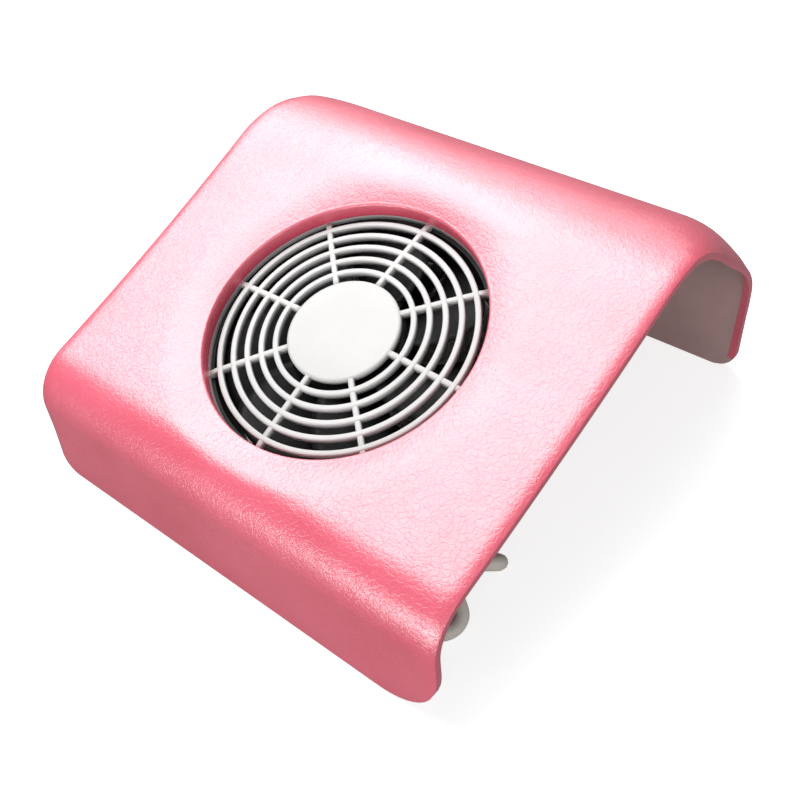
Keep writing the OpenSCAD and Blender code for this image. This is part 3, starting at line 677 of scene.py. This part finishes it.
wire = tree.nodes.new("ShaderNodeBump")
wire.inputs["Distance"].default_value = 0.00015
tree.links.new(turns.outputs["Fac"], wire.inputs["Height"])
tree.links.new(wire.outputs["Normal"], shader.inputs["Normal"])
uneven_gloss(tree, shader, place, 150, 0.25, 0.4)
finish_piece(coils, "windings", copper, "base", ["stator_coils"])

# ---------------------------------------------------------------- screws
# Zinc-plated pan-head screws: four clamp collar, fan frame and grille to the
# shell's lugs; the smaller ones hold the switch box and its lid.
zinc = metal("zinc_plated_steel", ((0.60, 0.60, 0.57), (0.72, 0.72, 0.70)), 0.3, (1, 1, 3))
for name in ("fan_screws", "box_screws"):
    dress(name, zinc, 0.0002)

# ---------------------------------------------------------------- bag collar
# White moulded ring on a square plate under the fan; the bead round its lower
# end keeps the bag from slipping off.
collar_white, tree, shader = new_material("white_collar_plastic", 0.45)
place = mottled(tree, shader, ((0.70, 0.68, 0.63), (0.78, 0.77, 0.73)), 45)
relief(tree, shader, place, ((1000, 0.00007), (4500, 0.00003)))
uneven_gloss(tree, shader, place, 60, 0.4, 0.55)
dress("bag_collar", collar_white, 0.0004, 3)

# ---------------------------------------------------------------- dust bag
# A sewn pouch of thin white non-woven cloth, gathered over the collar by an elastic. It sags between collar
# and table, with folds running down from the gathers and four soft, rounded corners.
cloth_t = 0.55
ring_steps, drop_steps = 176, 30


def gather(a, down):
    """Depth of the folds at angle a, from the elastic (down 0) to the bottom (down 1)."""
    tight = math.exp(-((down - 0.06) / 0.12) ** 2)
    long = math.sin(math.pi * min(1.0, down * 1.15)) if down * 1.15 < 1 else 0.0
    return (0.55 * tight * math.sin(44 * a + 1.3 * math.sin(5 * a))
            + 1.5 * long * math.sin(13 * a + 1.9 * math.sin(3 * a + 4 * down))
            + 0.9 * long * math.sin(23 * a - 2.2 * math.sin(2 * a) + 5 * down))


def pouch_outline(a):
    """Plan of the bag's lower edge, a rounded rectangle, at angle a."""
    c, s = math.cos(a), math.sin(a)
    k = (abs(c) ** 4.5 + abs(s) ** 4.5) ** (-1 / 4.5)
    return 47.0 * c * k, 81.5 + 35.5 * s * k


bag_rows = []
for z, r in ((-37.9, 60.75), (-38.6, 60.7), (-40.0, 60.65), (-42.1, 60.7), (-44.2, 60.75), (-46.2, 60.95),
             (-48.6, 61.0), (-50.3, 60.4)):
    row = []
    for k in range(ring_steps):
        a = 2 * math.pi * k / ring_steps
        fold = 0.28 * math.sin(44 * a + 1.3 * math.sin(5 * a)) * smooth_step((-41 - z) / 8)
        row.append(on_fan((r + fold) * math.cos(a), (r + fold) * math.sin(a), z))
    bag_rows.append(row)
top_row = bag_rows[-1]
for n in range(1, drop_steps + 1):
    t = n / drop_steps
    row = []
    for k in range(ring_steps):
        a = 2 * math.pi * k / ring_steps
        x, y = pouch_outline(a)
        low = from_foot(x, y, 7.0 + 3.4 * smooth_step((y - 50) / 62))
        sag = smooth_step(t) * 0.35 + t * 0.65
        p = top_row[k].lerp(low, sag)
        out = Vector((math.cos(a), math.sin(a), 0))
        bulge = 2.6 * math.sin(math.pi * t) ** 0.8
        row.append(p + out * (bulge - 2.2 + 2.2 * (1 - t) ** 4 * 0.9 + gather(a, t)) * 0.001 * min(1.0, 4 * t))
    bag_rows.append(row)
edge_row = bag_rows[-1]
middle = from_foot(0, 81.5, 0)
for n in range(1, 10):
    t = n / 10
    row = []
    for k in range(ring_steps):
        a = 2 * math.pi * k / ring_steps
        p = edge_row[k].lerp(Vector((middle.x, middle.y, edge_row[k].z)), t ** 1.15)
        lying = 0.0012 + 0.0007 * math.sin(5 * a + 6 * t) * math.sin(math.pi * t) ** 2
        depth = smooth_step(min(1.0, t * 2.6))
        p.z = edge_row[k].z * (1 - depth) + lying * depth
        row.append(p)
    bag_rows.append(row)
shaping = bmesh.new()
grid = [[shaping.verts.new(p) for p in row] for row in bag_rows]
for row, after in zip(grid, grid[1:]):
    for k in range(ring_steps):
        shaping.faces.new((row[k], after[k], after[(k + 1) % ring_steps], row[(k + 1) % ring_steps]))
pole = shaping.verts.new(Vector((middle.x, middle.y, 0.0012)))
for k in range(ring_steps):
    shaping.faces.new((grid[-1][k], pole, grid[-1][(k + 1) % ring_steps]))
bmesh.ops.recalc_face_normals(shaping, faces=shaping.faces)
outward = sum((f.normal.dot(f.calc_center_median() - from_foot(0, 81, 30)) for f in shaping.faces))
if outward < 0:
    bmesh.ops.reverse_faces(shaping, faces=shaping.faces)
for f in shaping.faces:
    f.smooth = True
bag_mesh = bpy.data.meshes.new("pouch")
shaping.to_mesh(bag_mesh)
shaping.free()
pouch = bpy.data.objects.new("pouch", bag_mesh)
scene.collection.objects.link(pouch)
stitching = pouch.modifiers.new("cloth_thickness", "SOLIDIFY")
stitching.thickness = cloth_t / 1000
stitching.offset = -1.0
shown = bpy.data.meshes.new_from_object(pouch.evaluated_get(bpy.context.evaluated_depsgraph_get()))
pouch.modifiers.clear()
pouch.data = shown
bag_cloth, tree, shader = new_material("white_nonwoven_cloth", 0.85, Sheen_Weight=0.3)
place = mottled(tree, shader, ((0.70, 0.685, 0.65), (0.80, 0.79, 0.765)), 55, 5.0)
dots = tree.nodes.new("ShaderNodeTexVoronoi")
dots.inputs["Scale"].default_value = 900
dots.inputs["Randomness"].default_value = 0.35
tree.links.new(place, dots.inputs["Vector"])
fibres = relief(tree, shader, place, ((1300, 0.0001), (5200, 0.00006)))
pressed = tree.nodes.new("ShaderNodeBump")
pressed.inputs["Distance"].default_value = 0.00012
tree.links.new(dots.outputs["Distance"], pressed.inputs["Height"])
tree.links.new(fibres.outputs["Normal"], pressed.inputs["Normal"])
tree.links.new(pressed.outputs["Normal"], shader.inputs["Normal"])
uneven_gloss(tree, shader, place, 80, 0.75, 0.95)
shown.materials.append(bag_cloth)
for p in shown.polygons:
    p.use_smooth = True
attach(pouch, "base")
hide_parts("dust_bag")

# ---------------------------------------------------------------- bag elastic
# A flat white elastic band, ribbed across its width and drawn tight over the
# gathered cloth, so that it rises and falls a little over the folds.
band = bmesh.new()
steps = 264
loops = []
for k in range(steps):
    a = 2 * math.pi * k / steps
    lift = 0.22 * math.sin(44 * a + 1.3 * math.sin(5 * a))
    loops.append([band.verts.new(on_fan((r + lift) * math.cos(a), (r + lift) * math.sin(a), z)) for r, z in (
        (62.1, -43.9), (62.0, -42.1), (62.1, -40.3), (62.5, -40.12), (62.95, -40.2), (63.15, -40.9),
        (63.3, -42.1), (63.15, -43.3), (62.95, -44.0), (62.5, -44.08))])
for k in range(steps):
    here, there = loops[k], loops[(k + 1) % steps]
    for i in range(10):
        band.faces.new((here[i], here[(i + 1) % 10], there[(i + 1) % 10], there[i])).smooth = True
bmesh.ops.recalc_face_normals(band, faces=band.faces)
elastic, tree, shader = new_material("ribbed_elastic", 0.8, Sheen_Weight=0.2)
place = mottled(tree, shader, ((0.62, 0.60, 0.56), (0.72, 0.70, 0.67)), 90)
on_axis = tree.nodes.new("ShaderNodeMapping")
on_axis.inputs["Location"].default_value = (0, 0.026212, -0.077378)
on_axis.inputs["Rotation"].default_value = (-slope, 0, 0)
tree.links.new(place, on_axis.inputs["Vector"])
ribs = tree.nodes.new("ShaderNodeTexWave")
ribs.bands_direction = "Z"
ribs.inputs["Scale"].default_value = 420
tree.links.new(on_axis.outputs["Vector"], ribs.inputs["Vector"])
weave = tree.nodes.new("ShaderNodeBump")
weave.inputs["Distance"].default_value = 0.0001
tree.links.new(ribs.outputs["Fac"], weave.inputs["Height"])
tree.links.new(weave.outputs["Normal"], shader.inputs["Normal"])
uneven_gloss(tree, shader, place, 120, 0.7, 0.9)
finish_piece(band, "bag_band", elastic, "base", ["bag_elastic"])

# ---------------------------------------------------------------- switch box
# A pink moulded box under the top at the right-hand end, with its lid below.
# It holds the rocker switch, the terminal block and the cord's strain relief.
box_pink, tree, shader = new_material("pink_moulded_plastic", 0.42)
place = mottled(tree, shader, ((0.66, 0.17, 0.23), (0.74, 0.22, 0.29)), 30)
relief(tree, shader, place, ((800, 0.00008), (3600, 0.00003)))
uneven_gloss(tree, shader, place, 50, 0.38, 0.55)
for name in ("switch_box", "box_lid"):
    dress(name, box_pink, 0.0005, 3)

# ---------------------------------------------------------------- rocker switch
# Black snap-in housing with a red rocker on a steel pin; two brass tabs stand
# out behind it for the wires.
switch_black, tree, shader = new_material("switch_black_plastic", 0.4)
place = mottled(tree, shader, ((0.008, 0.008, 0.009), (0.016, 0.016, 0.017)), 90)
relief(tree, shader, place, ((1600, 0.00004), (6000, 0.00002)))
uneven_gloss(tree, shader, place, 120, 0.33, 0.5)
dress("switch_housing", switch_black, 0.0003, 3)
rocker_red, tree, shader = new_material("rocker_red_plastic", 0.3)
place = mottled(tree, shader, ((0.46, 0.025, 0.025), (0.56, 0.04, 0.035)), 120)
relief(tree, shader, place, ((1800, 0.00003), (7000, 0.00001)))
uneven_gloss(tree, shader, place, 140, 0.24, 0.38)
dress("rocker", rocker_red, 0.0004, 3)
dress("rocker_pin", turned_steel, 0.00015)
brass = metal("pressed_brass", ((0.62, 0.43, 0.16), (0.74, 0.54, 0.24)), 0.3, (1, 1, 4))
for name in ("switch_tabs", "block_screws"):
    dress(name, brass, 0.00012)

# ---------------------------------------------------------------- terminals
# Cream plastic block with two brass clamp screws that join the fan's leads
# to the wires from the switch and the cord.
cream, tree, shader = new_material("cream_terminal_plastic", 0.5)
place = mottled(tree, shader, ((0.62, 0.58, 0.47), (0.70, 0.66, 0.56)), 100)
relief(tree, shader, place, ((1500, 0.00005), (6000, 0.00002)))
uneven_gloss(tree, shader, place, 120, 0.42, 0.6)
dress("terminal_block", cream, 0.0003)

# ---------------------------------------------------------------- wires
# Thin PVC-sheathed wires: the fan's dark leads and the blue ones in the box.
def sheathed(name, dark, light):
    made, tree, shader = new_material(name, 0.42)
    place = mottled(tree, shader, (dark, light), 250)
    relief(tree, shader, place, ((2500, 0.00002), (9000, 0.00001)))
    uneven_gloss(tree, shader, place, 200, 0.36, 0.5)
    return made


for name, finish in (("fan_leads", sheathed("dark_wire_sheath", (0.02, 0.02, 0.022), (0.035, 0.035, 0.037))),
                     ("box_wires", sheathed("blue_wire_sheath", (0.035, 0.11, 0.30), (0.05, 0.15, 0.38)))):
    piece = bpy.data.objects[name]
    piece.data.materials.clear()
    piece.data.materials.append(finish)
    for p in piece.data.polygons:
        p.use_smooth = True

# ---------------------------------------------------------------- strain relief
# Grey flexible PVC boot, moulded onto the cord: a flange and neck held by the
# box wall, then a tapering tail cut into ribs so that the cord bends gently.
boot = bmesh.new()
outline = [(3.05, -3.4), (5.0, -3.4), (5.0, -2.2), (4.2, -2.05), (4.2, 0.0),
           (5.15, 0.1), (5.2, 0.5), (5.2, 1.7),
           (5.0, 2.05), (4.35, 2.1)]
for k in range(6):
    at, r = 3.2 + 3.4 * k, 4.38 - 0.145 * k
    outline += [(r, at), (r - 0.62, at + 0.25), (r - 0.62, at + 1.0), (r - 0.04, at + 1.25)]
outline += [(3.42, 23.4), (3.3, 24.0), (3.05, 24.0)]
segments = 40
loops = []
for k in range(segments):
    a = 2 * math.pi * k / segments
    loops.append([boot.verts.new(on_fan(72.6 + r * math.cos(a), -2 - d, -18 + r * math.sin(a))) for d, r in
                  ((d, r) for r, d in outline)])
for k in range(segments):
    here, there = loops[k], loops[(k + 1) % segments]
    for i in range(len(outline)):
        j = (i + 1) % len(outline)
        boot.faces.new((here[i], here[j], there[j], there[i])).smooth = True
bmesh.ops.recalc_face_normals(boot, faces=boot.faces)
boot_piece = finish_piece(boot, "cord_boot", sheath, "base", ["strain_relief"])
edges = boot_piece.modifiers.new("soft_edges", "BEVEL")
edges.width, edges.segments, edges.limit_method, edges.angle_limit = 0.0002, 2, "ANGLE", math.radians(40)

# ---------------------------------------------------------------- cord tie
# Black plastic-coated wire twisted twice round the coil; its two ends are
# twisted together on the outer side.
tie_at = Vector((-50.0, 203.0, 10.6))
tie = bpy.data.curves.new("twist_tie", "CURVE")
tie.dimensions = "3D"
tie.bevel_depth = 0.00055
tie.bevel_resolution = 3
tie.use_fill_caps = True
for shift, lean_x in ((-0.9, 0.5), (0.9, -0.5)):
    loop = []
    for k in range(40):
        a = 2 * math.pi * k / 40
        c, s = math.cos(a), math.sin(a)
        flat = (abs(c) ** 5 + abs(s) ** 5) ** (-1 / 5)
        loop.append((tie_at.x + shift + lean_x * c,
                     tie_at.y + 7.0 * c * flat * 0.97,
                     tie_at.z + 9.75 * s * flat * 0.985))
    line = tie.splines.new("POLY")
    line.points.add(len(loop) - 1)
    line.use_cyclic_u = True
    for point, p in zip(line.points, loop):
        point.co = (*from_foot(*p), 1.0)
for side in (0.0, math.pi):
    ends = []
    for k in range(22):
        t = k / 21
        turn = side + 3.2 * math.pi * t
        ends.append((tie_at.x + 0.5 * math.cos(turn) + 1.0 * t, tie_at.y - 0.9 * t - 0.6,
                     tie_at.z + 9.9 + 0.33 * math.sin(turn)))
    line = tie.splines.new("POLY")
    line.points.add(len(ends) - 1)
    for point, p in zip(line.points, ends):
        point.co = (*from_foot(*p), 1.0)
tie_piece = bpy.data.objects.new("twist_tie", tie)
scene.collection.objects.link(tie_piece)
tie_black, tree, shader = new_material("tie_black_plastic", 0.4)
place = mottled(tree, shader, ((0.012, 0.012, 0.013), (0.022, 0.022, 0.023)), 300)
relief(tree, shader, place, ((2500, 0.00003), (8000, 0.00001)))
uneven_gloss(tree, shader, place, 200, 0.34, 0.5)
tie.materials.append(tie_black)
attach(tie_piece, "base")
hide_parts("cord_tie")

# ---------------------------------------------------------------- mains plug
# Grey moulded two-blade plug with a soft taper onto the cord, and two flat
# nickel-plated blades.
plug_grey, tree, shader = new_material("grey_plug_plastic", 0.45)
place = mottled(tree, shader, ((0.40, 0.38, 0.34), (0.47, 0.45, 0.405)), 80)
relief(tree, shader, place, ((1200, 0.00006), (5000, 0.00003)))
uneven_gloss(tree, shader, place, 90, 0.4, 0.55)
dress("plug_body", plug_grey, 0.0008, 3)
nickel = metal("nickel_plate", ((0.60, 0.59, 0.56), (0.70, 0.69, 0.66)), 0.22, (1, 6, 1))
dress("plug_blades", nickel, 0.0003)

# ---------------------------------------------------------------- table and light
# A plain white table, a broad soft light above, and weaker ones behind, in
# front and at the right-hand end.
floor_mesh = bpy.data.meshes.new("table")
floor_mesh.from_pydata([(-3, -3, 0), (3, -3, 0), (3, 3, 0), (-3, 3, 0)], [], [(0, 1, 2, 3)])
floor = bpy.data.objects.new("table", floor_mesh)
floor.location.z = -0.0002
scene.collection.objects.link(floor)
white_table = bpy.data.materials.new("white_table")
white_table.use_nodes = True
tree = white_table.node_tree
shader = tree.nodes["Principled BSDF"]
shader.inputs["Base Color"].default_value = (0.5, 0.5, 0.5, 1)
shader.inputs["Roughness"].default_value = 0.9
shader.inputs["Specular IOR Level"].default_value = 0.1
rays = tree.nodes.new("ShaderNodeLightPath")
lit = tree.nodes.new("ShaderNodeEmission")
lit.inputs["Color"].default_value = (1, 1, 1, 1)
lit.inputs["Strength"].default_value = 0.74
both = tree.nodes.new("ShaderNodeAddShader")
pick = tree.nodes.new("ShaderNodeMixShader")
tree.links.new(shader.outputs["BSDF"], both.inputs[0])
tree.links.new(lit.outputs["Emission"], both.inputs[1])
tree.links.new(rays.outputs["Is Camera Ray"], pick.inputs["Fac"])
tree.links.new(shader.outputs["BSDF"], pick.inputs[1])
tree.links.new(both.outputs["Shader"], pick.inputs[2])
tree.links.new(pick.outputs["Shader"], tree.nodes["Material Output"].inputs["Surface"])
floor_mesh.materials.append(white_table)
floor.visible_glossy = False

world = bpy.data.worlds.new("room")
scene.world = world
world.use_nodes = True
tree = world.node_tree
rays = tree.nodes.new("ShaderNodeLightPath")
room = tree.nodes["Background"]
room.inputs["Color"].default_value = (1, 1, 1, 1)
room.inputs["Strength"].default_value = 0.22
seen = tree.nodes.new("ShaderNodeBackground")
seen.inputs["Color"].default_value = (1, 1, 1, 1)
seen.inputs["Strength"].default_value = 1.0
pick = tree.nodes.new("ShaderNodeMixShader")
tree.links.new(rays.outputs["Is Camera Ray"], pick.inputs["Fac"])
tree.links.new(room.outputs["Background"], pick.inputs[1])
tree.links.new(seen.outputs["Background"], pick.inputs[2])
tree.links.new(pick.outputs["Shader"], tree.nodes["World Output"].inputs["Surface"])


def soft_light(name, towards, away, size, depth, power):
    """A soft light, size by depth metres, that looks at the fan from the given direction."""
    data = bpy.data.lights.new(name, "AREA")
    data.shape = "RECTANGLE"
    data.size, data.size_y = size, depth
    data.energy = power
    lamp = bpy.data.objects.new(name, data)
    way = Vector(towards).normalized()
    lamp.location = Vector((0, 0, 0.06)) + way * away
    lamp.rotation_euler = way.to_track_quat("Z", "Y").to_euler()
    scene.collection.objects.link(lamp)
    return lamp


soft_light("top_light", (-0.43, 0.17, 0.87), 0.9, 0.95, 0.95, 15.5)
soft_light("back_light", (-0.5, 0.72, 0.5), 1.0, 0.9, 0.5, 2.5)
soft_light("front_light", (0.0, -0.99, 0.1), 1.4, 1.2, 0.5, 13)
soft_light("side_light", (0.85, -0.35, 0.38), 1.4, 0.8, 0.8, 6)

scene.view_settings.view_transform = "Standard"
